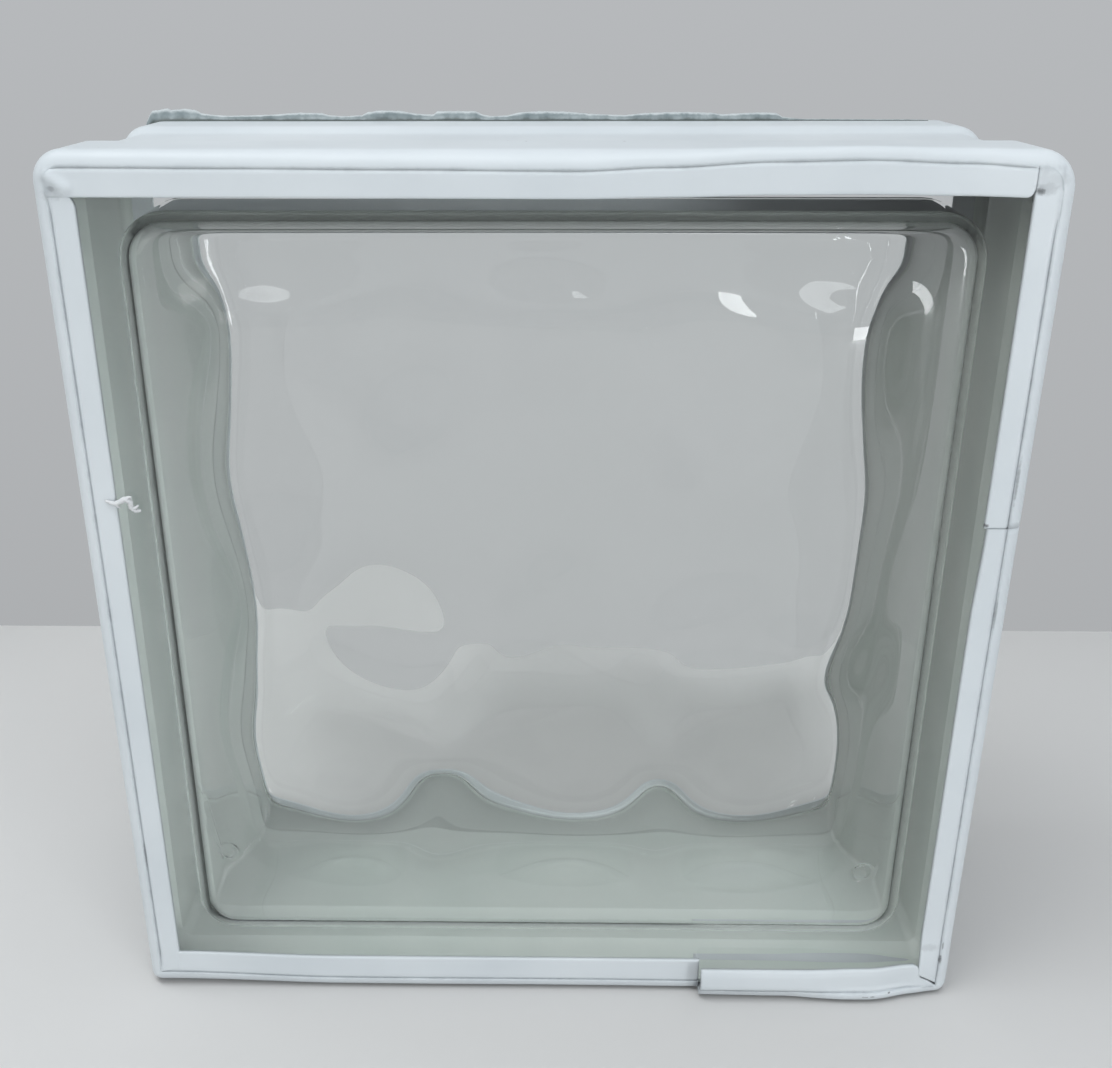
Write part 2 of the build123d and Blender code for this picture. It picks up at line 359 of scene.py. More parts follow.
def make_glass():
    vertices, faces = [], []
    side, centre = half_side / MM, centre_height / MM

    def add_ring(y, half, radius, side_steps, corner_steps):
        start = len(vertices)
        for x, z in outline(half, radius, side_steps, corner_steps):
            vertices.append((x * MM, y * MM, (centre + z) * MM))
        return start

    # Outer skin: two flat faces and the keyed sides
    count = 4 * (SKIN_SIDE_STEPS + SKIN_CORNER_STEPS)
    rings = []
    for y, outward in skin_profile():
        rings.append(add_ring(y, side + outward, GLASS_CORNER_RADIUS + outward,
                              SKIN_SIDE_STEPS, SKIN_CORNER_STEPS))
    coated = []
    for first, second in zip(rings, rings[1:]):
        if first > rings[0] and second < rings[-1]:
            coated += range(len(faces), len(faces) + count)
        faces += ring_faces(first, second, count, flip=True)
    faces.append(tuple(range(rings[0], rings[0] + count)))
    faces.append(tuple(range(rings[-1] + count - 1, rings[-1] - 1, -1)))

    # Cavity wall: fillet, drafted wall, seam, wall, fillet
    cavity_half = side - WALL_INSET
    plate_face = half_depth / MM - PLATE_THICKNESS
    patch_half = cavity_half - CAVITY_FILLET - WAVE_MARGIN
    wall = []
    for a in np.linspace(0, math.pi / 2, EDGE_STEPS):
        wall.append((-plate_face + CAVITY_FILLET * (1 - math.cos(a)), CAVITY_FILLET * (1 - math.sin(a))))
    wall_start = -plate_face + CAVITY_FILLET
    for t in (0.08, 0.5, 0.95):
        y = wall_start + (-SEAM_HALF_WIDTH - wall_start) * t
        wall.append((y, -WALL_DRAFT * t))
    for a in np.linspace(0, math.pi / 2, SEAM_STEPS):
        wall.append((-SEAM_HALF_WIDTH * math.cos(a), SEAM_HEIGHT * math.sin(a) - WALL_DRAFT))
    wall += [(-y, inset) for y, inset in reversed(wall[:-1])]
    count = 4 * (GRID_STEPS + CAVITY_CORNER_STEPS)
    rings = [add_ring(y, cavity_half - inset, CAVITY_CORNER_RADIUS - inset,
                      GRID_STEPS, CAVITY_CORNER_STEPS) for y, inset in wall]
    for first, second in zip(rings, rings[1:]):
        faces += ring_faces(first, second, count)

    # Wavy faces, each a square grid whose border is level and joined to the fillet's edge by a flat rim
    steps = GRID_STEPS
    gx, gz = np.meshgrid(grid_line(patch_half, [mark[0] for mark in MOULD_MARKS]),
                         grid_line(patch_half, [mark[1] for mark in MOULD_MARKS]))
    for end, ring in ((-1, rings[0]), (1, rings[-1])):
        start = len(vertices)
        low_fade = FRONT_LOW_FADE if end < 0 else WAVE_FADE
        depth = end * (plate_face + wave_height(-end * gx, gz, low_fade))
        if end < 0:
            depth = depth + mould_mark_height(gx, gz)
        for x, y, z in zip(gx.ravel(), depth.ravel(), gz.ravel()):
            vertices.append((x * MM, y * MM, (centre + z) * MM))
        index = lambda row, column: start + row * (steps + 1) + column
        for row in range(steps):
            for column in range(steps):
                quad = (index(row, column), index(row, column + 1),
                        index(row + 1, column + 1), index(row + 1, column))
                faces.append(quad if end > 0 else quad[::-1])
        border = [index(0, i) for i in range(steps)]
        border += [index(i, steps) for i in range(steps)]
        border += [index(steps, steps - i) for i in range(steps)]
        border += [index(steps - i, 0) for i in range(steps)]
        square = 4 * steps
        for quarter in range(4):
            base_ring = ring + quarter * (steps + CAVITY_CORNER_STEPS)
            for i in range(steps):
                a, b = base_ring + i, base_ring + i + 1
                c = border[quarter * steps + i]
                d = border[(quarter * steps + i + 1) % square]
                quad = (c, d, b, a)
                faces.append(quad if end < 0 else quad[::-1])
            corner = border[((quarter + 1) * steps) % square]
            for i in range(CAVITY_CORNER_STEPS):
                a = base_ring + steps + i
                b = ring + (a + 1 - ring) % count
                triangle = (corner, b, a)
                faces.append(triangle if end < 0 else triangle[::-1])
    piece = new_object("glass_body", vertices, faces, glass_material())
    piece.data.materials.append(coated_edge_material())
    for number in coated:
        piece.data.polygons[number].material_index = 1
    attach(piece, "root")
    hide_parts("glass_block")


def glass_material():
    """Clear glass with a faint, slightly uneven green tint. Shadow rays pass straight through it."""
    material, tree, output = new_material("clear green-tinged glass")
    link = tree.links.new
    glass = principled(tree, (0.978, 0.992, 0.984), 0.0, IOR=1.52, Transmission_Weight=1.0)
    coordinates = tree.nodes.new("ShaderNodeTexCoord")
    cloud = add_node(tree, "ShaderNodeTexNoise", Scale=24.0, Detail=0.0)
    link(coordinates.outputs["Object"], cloud.inputs["Vector"])
    tint = tree.nodes.new("ShaderNodeMix")
    tint.data_type = "RGBA"
    tint.inputs[6].default_value = (0.976, 0.991, 0.982, 1)
    tint.inputs[7].default_value = (0.989, 0.998, 0.994, 1)
    link(cloud.outputs["Fac"], tint.inputs[0])
    link(tint.outputs[2], glass.inputs["Base Color"])
    clear = add_node(tree, "ShaderNodeBsdfTransparent", Color=(0.985, 0.992, 0.987, 1))
    path = tree.nodes.new("ShaderNodeLightPath")
    mix = tree.nodes.new("ShaderNodeMixShader")
    link(path.outputs["Is Shadow Ray"], mix.inputs["Fac"])
    link(glass.outputs["BSDF"], mix.inputs[1])
    link(clear.outputs["BSDF"], mix.inputs[2])
    link(mix.outputs["Shader"], output.inputs["Surface"])
    return material


def coated_edge_material():
    """Thin white bonding coat on the sides of the glass, seen through the glass from inside."""
    material, tree, output = new_material("coated glass edge")
    shader = principled(tree, (0.79, 0.91, 0.89), 0.6)
    coordinates = tree.nodes.new("ShaderNodeTexCoord")
    noise = add_node(tree, "ShaderNodeTexNoise", Scale=28.0, Detail=2.0)
    tree.links.new(coordinates.outputs["Object"], noise.inputs["Vector"])
    tones = tree.nodes.new("ShaderNodeValToRGB")
    tones.color_ramp.elements[0].position = 0.3
    tones.color_ramp.elements[0].color = (0.81, 0.905, 0.86, 1)
    tones.color_ramp.elements[1].position = 0.7
    tones.color_ramp.elements[1].color = (0.90, 0.975, 0.935, 1)
    tree.links.new(noise.outputs["Fac"], tones.inputs["Fac"])
    tree.links.new(tones.outputs["Color"], shader.inputs["Base Color"])
    tree.links.new(shader.outputs["BSDF"], output.inputs["Surface"])
    return material


# Dark spots on the vinyl, dirt specks and lines, and painted shade in the pressed hollows and round the
# folds at the two upper corners:
# centre across, depth and up from the axis, half sizes in the same order, and darkness. All are millimetres.
VINYL_DIRT_AND_SHADE_SPOTS = [
    # Painted shade in the hollow of the pinched fold at the upper left corner
    (-95.2, -41, 91.5, 2.6, 3, 1.5, 0.20), (-95.2, -41, 92.3, 1.1, 3, 0.8, 0.35),
    # Painted shade of the puckered upper right corner and its hollow, with some grey smudge
    (92.1, -41, 91.9, 1.1, 3, 0.9, 0.85), (93.2, -41, 92.6, 2.8, 3, 1.5, 0.25),
    (95.0, -41, 94.0, 3.0, 3, 1.6, 0.14), (92.6, -41, 94.2, 1.8, 3, 3.0, 0.12),
    (78.2, -42, -97.2, 0.9, 6, 0.35, 1.0), (79.9, -42, -97.1, 0.8, 6, 0.22, 0.8),
    (84.1, -42, -96.5, 0.45, 6, 0.3, 0.9), (96.4, -41, -88.3, 0.5, 3, 1.5, 0.75),
    (96.6, -41, -84.5, 0.3, 3, 1.3, 0.5), (93.4, -41, -84.7, 3.2, 3, 1.2, 0.16),
    (-8.8, -20, 98.5, 0.35, 0.5, 3, 0.7), (-5.1, -22, 98.5, 0.3, 0.45, 3, 0.7),
    (14.6, -22, 98.5, 0.35, 0.5, 3, 0.7), (-86.6, -36, 100.3, 0.35, 0.4, 2, 0.6),
    (96.0, -30, 96.5, 2.5, 4, 2.5, 0.15), (91.5, -41, 24.9, 0.6, 3, 0.5, 0.8),
    (37.6, -43, -93.5, 0.35, 3, 2.6, 0.5), (-96.0, -41, -60.0, 0.4, 3, 4.5, 0.35),
    (96.5, -41, 35.0, 0.4, 3, 6.0, 0.45), (96.4, -41, 5.0, 0.35, 3, 5.0, 0.35),
]


def vinyl_material():
    """White vinyl with a soft handled tone, grey in the creases from dirt and painted shade, with painted
    shade at the joints and at the upper corners' folds, and marked with dirt.
    """
    material, tree, output = new_material("white vinyl")
    shader = principled(tree, (0.80, 0.86, 0.885), 0.4)
    link = tree.links.new
    coordinates = tree.nodes.new("ShaderNodeTexCoord")

    def noise_of(scale, detail, stretch=(1, 1, 1)):
        mapping = tree.nodes.new("ShaderNodeMapping")
        mapping.inputs["Scale"].default_value = stretch
        link(coordinates.outputs["Object"], mapping.inputs["Vector"])
        noise = add_node(tree, "ShaderNodeTexNoise", Scale=scale, Detail=detail)
        link(mapping.outputs["Vector"], noise.inputs["Vector"])
        return noise.outputs["Fac"]

    def maths(kind, first, second):
        node = tree.nodes.new("ShaderNodeMath")
        node.operation = kind
        for socket, value in zip(node.inputs, (first, second)):
            if isinstance(value, (int, float)):
                socket.default_value = value
            else:
                link(value, socket)
        return node.outputs[0]

    def mixed(share, first, second):
        node = tree.nodes.new("ShaderNodeMix")
        node.data_type = "RGBA"
        link(share, node.inputs[0])
        for socket, value in zip((node.inputs[6], node.inputs[7]), (first, second)):
            if isinstance(value, tuple):
                socket.default_value = value
            else:
                link(value, socket)
        return node.outputs[2]

    tones = tree.nodes.new("ShaderNodeValToRGB")
    tones.color_ramp.elements[0].position = 0.32
    tones.color_ramp.elements[0].color = (0.705, 0.762, 0.795, 1)
    tones.color_ramp.elements[1].position = 0.66
    tones.color_ramp.elements[1].color = (0.785, 0.840, 0.870, 1)
    link(noise_of(22.0, 3.0), tones.inputs["Fac"])

    # Darkening in the creases (dirt with painted shade), painted shade at the joints and a darker band at
    # the sealant's foot, broken up by a fine noise
    dirt_and_shade = tree.nodes.new("ShaderNodeAttribute")
    dirt_and_shade.attribute_name = "dirt_and_shade"
    fine = noise_of(600.0, 3.0)
    broken = maths("MULTIPLY", maths("MULTIPLY", fine, 1.7), dirt_and_shade.outputs["Fac"])
    colour = mixed(broken, tones.outputs["Color"], (0.34, 0.38, 0.41, 1))

    # Separate smudges, specks and spots of painted shade, each a soft ball squeezed to its half sizes and
    # ragged by noise
    ragged = maths("MULTIPLY", maths("SUBTRACT", noise_of(1100.0, 3.0), 0.5), 1.1)
    dirt_and_shade_spots = None
    for x, y, z, size_x, size_y, size_z, darkness in VINYL_DIRT_AND_SHADE_SPOTS:
        offset = tree.nodes.new("ShaderNodeVectorMath")
        offset.operation = "SUBTRACT"
        offset.inputs[1].default_value = (x * MM, y * MM, centre_height + z * MM)
        link(coordinates.outputs["Object"], offset.inputs[0])
        squeeze = tree.nodes.new("ShaderNodeVectorMath")
        squeeze.operation = "DIVIDE"
        squeeze.inputs[1].default_value = (size_x * MM, size_y * MM, size_z * MM)
        link(offset.outputs[0], squeeze.inputs[0])
        length = tree.nodes.new("ShaderNodeVectorMath")
        length.operation = "LENGTH"
        link(squeeze.outputs[0], length.inputs[0])
        soft = tree.nodes.new("ShaderNodeMapRange")
        soft.interpolation_type = "SMOOTHSTEP"
        soft.inputs["From Min"].default_value = 1.15
        soft.inputs["From Max"].default_value = 0.25
        soft.inputs["To Max"].default_value = darkness
        link(maths("ADD", length.outputs["Value"], ragged), soft.inputs["Value"])
        share = soft.outputs["Result"]
        dirt_and_shade_spots = share if dirt_and_shade_spots is None else maths("MAXIMUM", dirt_and_shade_spots, share)
    colour = mixed(dirt_and_shade_spots, colour, (0.07, 0.075, 0.08, 1))
    link(colour, shader.inputs["Base Color"])

    sheen = tree.nodes.new("ShaderNodeMapRange")
    sheen.inputs["To Min"].default_value = 0.34
    sheen.inputs["To Max"].default_value = 0.52
    link(noise_of(90.0, 3.0), sheen.inputs["Value"])
    link(sheen.outputs["Result"], shader.inputs["Roughness"])
    bump = add_node(tree, "ShaderNodeBump", Strength=0.12, Distance=0.0004)
    link(noise_of(160.0, 2.0, (0.25, 1, 1)), bump.inputs["Height"])
    link(bump.outputs["Normal"], shader.inputs["Normal"])
    link(shader.outputs["BSDF"], output.inputs["Surface"])
    return material


def sealant_material():
    """Blue-grey silicone, paler towards the torn rim and darker towards its foot."""
    material, tree, output = new_material("grey sealant")
    link = tree.links.new
    shader = principled(tree, (0.30, 0.36, 0.375), 0.38)
    coordinates = tree.nodes.new("ShaderNodeTexCoord")
    noise = add_node(tree, "ShaderNodeTexNoise", Scale=420.0, Detail=4.0)
    link(coordinates.outputs["Object"], noise.inputs["Vector"])
    tones = tree.nodes.new("ShaderNodeValToRGB")
    tones.color_ramp.elements[0].position = 0.30
    tones.color_ramp.elements[0].color = (0.235, 0.290, 0.305, 1)
    tones.color_ramp.elements[1].position = 0.66
    tones.color_ramp.elements[1].color = (0.37, 0.430, 0.445, 1)
    link(noise.outputs["Fac"], tones.inputs["Fac"])
    # The level attribute is 0 at the foot and 1 at the torn rim.
    level = tree.nodes.new("ShaderNodeAttribute")
    level.attribute_name = "level"
    speckled = tree.nodes.new("ShaderNodeMath")
    speckled.operation = "MULTIPLY_ADD"
    speckled.inputs[1].default_value = 0.5
    speckled.inputs[2].default_value = -0.25
    link(noise.outputs["Fac"], speckled.inputs[0])
    ragged = tree.nodes.new("ShaderNodeMath")
    ragged.operation = "ADD"
    link(level.outputs["Fac"], ragged.inputs[0])
    link(speckled.outputs[0], ragged.inputs[1])
    colour = tones.outputs["Color"]
    for start, stop, tone in ((0.66, 0.94, (0.62, 0.67, 0.68, 1)), (0.52, 0.12, (0.09, 0.115, 0.11, 1))):
        share = tree.nodes.new("ShaderNodeMapRange")
        share.interpolation_type = "SMOOTHSTEP"
        share.inputs["From Min"].default_value = start
        share.inputs["From Max"].default_value = stop
        link(ragged.outputs[0], share.inputs["Value"])
        mixed = tree.nodes.new("ShaderNodeMix")
        mixed.data_type = "RGBA"
        mixed.inputs[7].default_value = tone
        link(share.outputs["Result"], mixed.inputs[0])
        link(colour, mixed.inputs[6])
        colour = mixed.outputs[2]
    link(colour, shader.inputs["Base Color"])
    bump = add_node(tree, "ShaderNodeBump", Strength=0.35, Distance=0.0003)
    link(noise.outputs["Fac"], bump.inputs["Height"])
    link(bump.outputs["Normal"], shader.inputs["Normal"])
    link(shader.outputs["BSDF"], output.inputs["Surface"])
    return material


# Vinyl edge strip, in millimetres. Each side of the block has its own direction along and outward.
SIDES = {
    "bottom": ((1, 0), (0, -1)),
    "right": ((0, 1), (1, 0)),
    "top": ((-1, 0), (0, 1)),
    "left": ((0, -1), (-1, 0)),
}
SIDE_ORDER = ("bottom", "right", "top", "left")
# Corner radius of the strip's inner face after each side, in the same order
STRIP_CORNER_RADII = (2.2, 6.5, 5.2, 1.6)
STRIP_GAP = 0.03
STRIP_VALLEY = 1.6
STRIP_VALLEY_SLOPE = 4.0
FLANGE_WIDTHS = {"bottom": 6.4, "right": 4.9, "top": 5.4, "left": 4.9}
FLANGE_ROUND = 0.4
CREASE_REACH = 0.6
CREASE_DEPTH = 0.5
CAD_JOINT_GAP = 0.3
SIDE_JOINT = short_high.z / MM + CAD_JOINT_GAP / 2 - centre_height / MM
BOTTOM_JOINT = short_low.x / MM - CAD_JOINT_GAP / 2
JOINT_GAP = 0.03
STATION_STEP = 1.5
# Mesh lines of a flange from its crease, from its free lip and from a cut end
FLANGE_FROM_CREASE = np.array([-0.35, 0.0, 0.25, 0.55, 0.9, 1.4, 2.0, 2.6, 3.2, 3.8, 4.4, 5.0])
FLANGE_FROM_LIP = np.array([0.7, 0.4, 0.2, 0.07, 0.0])
FLANGE_FROM_END = np.concatenate([[0, 0.05, 0.18, 0.4, 0.8], np.arange(1.3, 8, 0.5)])
FLANGE_LINE_GAP = 0.15
CREASE_FADE = 3
NO_EDGE = 9.0


def ramp(value, start, stop):
    """Smooth step from 0 at start to 1 at stop."""
    t = np.clip((value - start) / (stop - start), 0, 1)
    return t * t * (3 - 2 * t)


def curve(value, knots):
    """Smooth curve through given (position, value) knots."""
    places, heights = zip(*knots)
    t = np.interp(value, places, np.arange(len(places)))
    index = np.minimum(t.astype(int), len(places) - 2) if len(places) > 1 else 0
    part = t - index
    part = part * part * (3 - 2 * part)
    heights = np.array(heights)
    return heights[index] * (1 - part) + heights[index + 1] * part


# How far the loose end of the short strip has come forward, by distance across
SHORT_FORWARD = [(37.0, 4.2), (62.0, 4.2), (78.0, 3.4), (90.0, 1.4), (97.0, 0.5), (101.0, 0.3)]
SHORT_TUCK = [(37.0, -1.3), (58.0, -1.0), (76.0, 1.0), (84.0, 1.2), (94.0, 0.3), (101.0, 0.0)]
# Height of the crease along the top, above its true line
TOP_CREASE = [(-100, 0.2), (-60, 0.0), (-30, -0.2), (5, -0.5), (22, 0.2), (42, 1.2), (60, 1.5),
              (78, 0.9), (94, 0.0), (100, 0.0)]

# Pinched fold at the upper left corner, in millimetres from the block's axis
FOLD_START, FOLD_STOP = (-95.8, 94.6), (-92.6, 92.4)
FOLD_HEIGHT, FOLD_WIDTH = 1.0, 1.1
# Hollows pressed into the front flanges: across, up, reach, depth
HOLLOWS = [(-95.2, 92.3, 0.8, 0.7), (92.0, 91.9, 0.7, 0.55), (96.3, -88.6, 0.6, 0.2)]
# Smooth steps that keep each soft deformation to its part of the strip: forward, down and up
FRONT_PART, FACE_PART = (8, 30), (36.5, 40.5)
LOW_PART, LOW_EDGE_PART, HIGH_PART = (80, 92), (94.5, 97.5), (88, 94)
SOFT_WAVE_HEIGHT = 0.12
FOOT_SHIFT = 0.6
END_LIFT = 1.3
# How strongly the creases are darkened with dirt and painted shade, the joints with painted shade and the
# sealant's foot with a darker band
CREASE_DIRT_AND_SHADE, JOINT_SHADE, FOOT_DARKENING = 0.42, 0.15, 0.9


def strip_shift(points, short):
    """Soft deformation of the strip: points are x, y, z in millimetres from the block's axis."""
    x, y, z = points[:, 0].copy(), points[:, 1].copy(), points[:, 2].copy()
    front, face = ramp(-y, *FRONT_PART), ramp(-y, *FACE_PART)
    low, high = ramp(-z, *LOW_PART), ramp(z, *HIGH_PART)
    outer = (y < -half_depth / MM - 0.3)
    for place_x, place_z, reach, depth in HOLLOWS:
        y = y + outer * depth * np.exp(-((x - place_x) ** 2 + (z - place_z) ** 2) / reach ** 2)
    if not short:
        run_x, run_z = FOLD_STOP[0] - FOLD_START[0], FOLD_STOP[1] - FOLD_START[1]
        part = ((x - FOLD_START[0]) * run_x + (z - FOLD_START[1]) * run_z) / (run_x ** 2 + run_z ** 2)
        part = np.clip(part, 0, 1)
        away = (x - FOLD_START[0] - part * run_x) ** 2 + (z - FOLD_START[1] - part * run_z) ** 2
        y = y - outer * FOLD_HEIGHT * np.exp(-away / FOLD_WIDTH ** 2)
    # Slow waves of a soft extrusion
    y = y + face * SOFT_WAVE_HEIGHT * np.sin(x / 13.0 + 1.3) * np.cos(z / 17.0 + 0.4)
    rise = high * face * curve(x, TOP_CREASE)
    z = z + rise
    if short:
        lip = face * (1 - ramp(x, half_side / MM - 6.2, half_side / MM - 3.0)) * ramp(x, 80, 88)
        x = x + FOOT_SHIFT * lip * ramp(z, 2, 22)
        under = low * ramp(x, 30, 36)
        y = y - under * front * curve(x, SHORT_FORWARD)
        edge = ramp(-z, *LOW_EDGE_PART)
        y = y - under * front * edge * curve(x, SHORT_TUCK)
    else:
        lift = low * ramp(-x, 52, 95)
        z = z + lift * face * END_LIFT
    return np.stack([x, y, z], axis=1)


def dirt_and_shade_map(points):
    """How dark each vertex is painted, 0 to 1, from its place before the strip is deformed: dirt with
    painted shade along the creases, painted shade at the joints and a darker band at the sealant's foot.
    """
    x, y, z = points[:, 0], points[:, 1], points[:, 2]
    reach = np.maximum(np.abs(x), np.abs(z))
    face = ramp(np.abs(y), 39.4, 40.0)
    crease = half_side / MM - FACE_EDGE_RADIUS
    along = np.where(np.abs(x) > np.abs(z), z, x)
    uneven = 0.62 + 0.38 * np.sin(along / 6.1 + 0.8) * np.sin(along / 2.3)
    dirt_and_shade = CREASE_DIRT_AND_SHADE * np.exp(-((reach - crease) / 0.5) ** 2) * face * uneven
    # Painted shade along the joints between the two strip pieces
    joints = np.exp(-((z - SIDE_JOINT) / 0.35) ** 2) * (x > 88)
    joints = joints + np.exp(-((x - BOTTOM_JOINT) / 0.35) ** 2) * (z < -88)
    # A darker band along the sealant's foot on the rear band
    rear_foot = np.exp(-((y - residue_low.y / MM + 0.5) / 1.1) ** 2) * (z > half_side / MM + 0.5) * (x < 60)
    return np.clip(dirt_and_shade + JOINT_SHADE * joints + FOOT_DARKENING * rear_foot, 0, 1)


class MeshBag:
    """Vertices in millimetres from the block's axis, and faces, gathered for one piece."""

    def __init__(self):
        self.points = []
        self.faces = []

    def add(self, points):
        start = len(self.points)
        self.points.extend(points)
        return start


def side_point(side, along, outward, y):
    (ax, az), (ox, oz) = SIDES[side]
    reach = half_side / MM + outward
    return (ax * along + ox * reach, y, az * along + oz * reach)


def flange(bag, side, start, stop, start_cut, stop_cut, end=-1, lift=0.0, soft=(False, False),
           crease=(-200, 200)):
    """One flat flange on a face, from start to stop along its side. The cuts say how much it falls
    short at each end for a place from the crease (0) to the free lip (1). A soft end has no rounded
    edge. end is -1 for the front face and 1 for the rear. crease is where the bend line is sharp."""
    width = FLANGE_WIDTHS[side]
    first_lip_line = width - FLANGE_FROM_LIP[0]
    across = FLANGE_FROM_CREASE[FLANGE_FROM_CREASE < first_lip_line - FLANGE_LINE_GAP]
    across = np.concatenate([across, width - FLANGE_FROM_LIP])
    near = FLANGE_FROM_END
    length = stop - start
    count = max(int((length - 2 * near[-1]) / STATION_STEP), 2)
    middle = np.linspace(near[-1], length - near[-1], count + 1)[1:-1]
    along = np.concatenate([near, middle, length - near[::-1]])
    face = half_depth / MM
    rows = []
    for u in across:
        share = np.clip(u / width, 0, 1)
        first = start + start_cut(share)
        last = stop - stop_cut(share)
        places = first + (last - first) * along / length
        row = []
        for a, place in zip(along, places):
            edge = min(width - u, NO_EDGE if soft[0] else a, NO_EDGE if soft[1] else length - a)
            drop = 0.0
            if edge < FLANGE_ROUND:
                part = FLANGE_ROUND - edge
                drop = FLANGE_ROUND - math.sqrt(max(FLANGE_ROUND ** 2 - part ** 2, 0))
            depth = CREASE_DEPTH * ramp(place, crease[0] - CREASE_FADE, crease[0] + CREASE_FADE)
            depth *= 1 - ramp(place, crease[1] - CREASE_FADE, crease[1] + CREASE_FADE)
            groove = depth * max(0.0, 1 - abs(u) / CREASE_REACH)
            y = end * (face + strip_thickness / MM + lift - drop - groove)
            row.append(side_point(side, place, -FACE_EDGE_RADIUS - u, y))
        rows.append(row)
    n, m = len(rows), len(rows[0])
    front = bag.add([p for row in rows for p in row])
    back_y = end * (face + STRIP_GAP)
    back = bag.add([(p[0], back_y, p[2]) for row in rows for p in row])
    grid = lambda base, i, j: base + i * m + j
    flip = end > 0

    def put(quad):
        bag.faces.append(quad[::-1] if flip else quad)

    for i in range(n - 1):
        for j in range(m - 1):
            square = ((i, j), (i, j + 1), (i + 1, j + 1), (i + 1, j))
            put(tuple(grid(front, k, l) for k, l in square))
            put(tuple(grid(back, k, l) for k, l in reversed(square)))
    rim = [(0, j) for j in range(m)] + [(i, m - 1) for i in range(1, n)]
    rim += [(n - 1, j) for j in range(m - 2, -1, -1)] + [(i, 0) for i in range(n - 2, 0, -1)]
    for (i, j), (k, l) in zip(rim, rim[1:] + rim[:1]):
        put((grid(front, k, l), grid(front, i, j), grid(back, i, j), grid(back, k, l)))


def web_section():
    """Closed section of the strip without its flanges: (y, outward), outer face then inner face."""
    face = half_depth / MM

    def half(radius, level, valley):
        points = [(-face - level + radius * (1 - math.cos(a)), level - radius * (1 - math.sin(a)))
                  for a in np.linspace(0, math.pi / 2, 10)]
        shoulder = -face + LIP_DEPTH
        points += [(-face + inward, level) for inward in (3.5, 4.2, 4.9, 5.7, 7.0, 12.5, 18.7)]
        for t in np.linspace(0, 1, 7):
            points.append((shoulder + STRIP_VALLEY_SLOPE * t, level - valley * t * t * (3 - 2 * t)))
        points += [(-8, level - valley)]
        return points

    outer = half(FACE_EDGE_RADIUS + strip_thickness / MM, strip_thickness / MM, STRIP_VALLEY)
    inner = half(FACE_EDGE_RADIUS, STRIP_GAP, STRIP_VALLEY)
    outer = outer + [(-y, e) for y, e in reversed(outer)]
    inner = inner + [(-y, e) for y, e in reversed(inner)]
    return outer + inner[::-1]


def web_outline(outward, stations):
    """Points (x, z) of the strip's run at one level, for stations (side number, part, in_corner)."""
    half = half_side / MM + outward
    radii = [max(radius + outward, 0.05) for radius in STRIP_CORNER_RADII]
    points = []
    for number, part, in_corner in stations:
        (ax, az), (ox, oz) = SIDES[SIDE_ORDER[number]]
        before, after = radii[number - 1], radii[number]
        if in_corner:
            angle = math.pi / 2 * part
            along = half - after + after * math.sin(angle)
            out = half - after + after * math.cos(angle)
        else:
            along, out = part, half
            along = min(max(along, -half + before), half - after)
        points.append((ax * along + ox * out, az * along + oz * out))
    return points


def web_stations(start, stop):
    """Stations from (side number, along) to (side number, along), going round by the corners."""
    (side, along), (last_side, last_along) = start, stop
    reach = half_side / MM + strip_thickness / MM
    stations = []
    while True:
        final = side == last_side and (along < last_along)
        begin = along
        end = last_along if final else reach - STRIP_CORNER_RADII[side] - strip_thickness / MM
        count = max(int((end - begin) / STATION_STEP), 2)
        stations += [(side, place, False) for place in np.linspace(begin, end, count + 1)]
        if final:
            return stations
        stations += [(side, part, True) for part in np.linspace(0, 1, 11)[1:-1]]
        side = (side + 1) % 4
        along = -(reach - STRIP_CORNER_RADII[side - 1] - strip_thickness / MM)


def web(bag, start, stop):
    section = web_section()
    stations = web_stations(start, stop)
    levels = {outward: web_outline(outward, stations) for outward in {e for _, e in section}}
    columns = [[(levels[e][i][0], y, levels[e][i][1]) for i in range(len(stations))] for y, e in section]
    n, m = len(section), len(stations)
    base = bag.add([columns[k][i] for i in range(m) for k in range(n)])
    for i in range(m - 1):
        for k in range(n):
            l = (k + 1) % n
            a, b = base + i * n + k, base + i * n + l
            bag.faces.append((a, b, b + n, a + n))
    bag.faces.append(tuple(base + k for k in range(n))[::-1])
    bag.faces.append(tuple(base + (m - 1) * n + k for k in range(n)))


def straight(share):
    return 0.0


def bag_object(name, bag, short, material, node):
    plain = np.array(bag.points, dtype=float)
    points = strip_shift(plain, short)
    points[:, 2] += centre_height / MM
    piece = new_object(name, points * MM, bag.faces, material)
    # Per-vertex darkening: dirt with painted shade in the creases, painted shade at the joints, a darker
    # band at the sealant's foot
    dirt_and_shade = piece.data.attributes.new("dirt_and_shade", "FLOAT", "POINT")
    dirt_and_shade.data.foreach_set("value", dirt_and_shade_map(plain).astype(np.float32))
    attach(piece, "root")
    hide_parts(node)


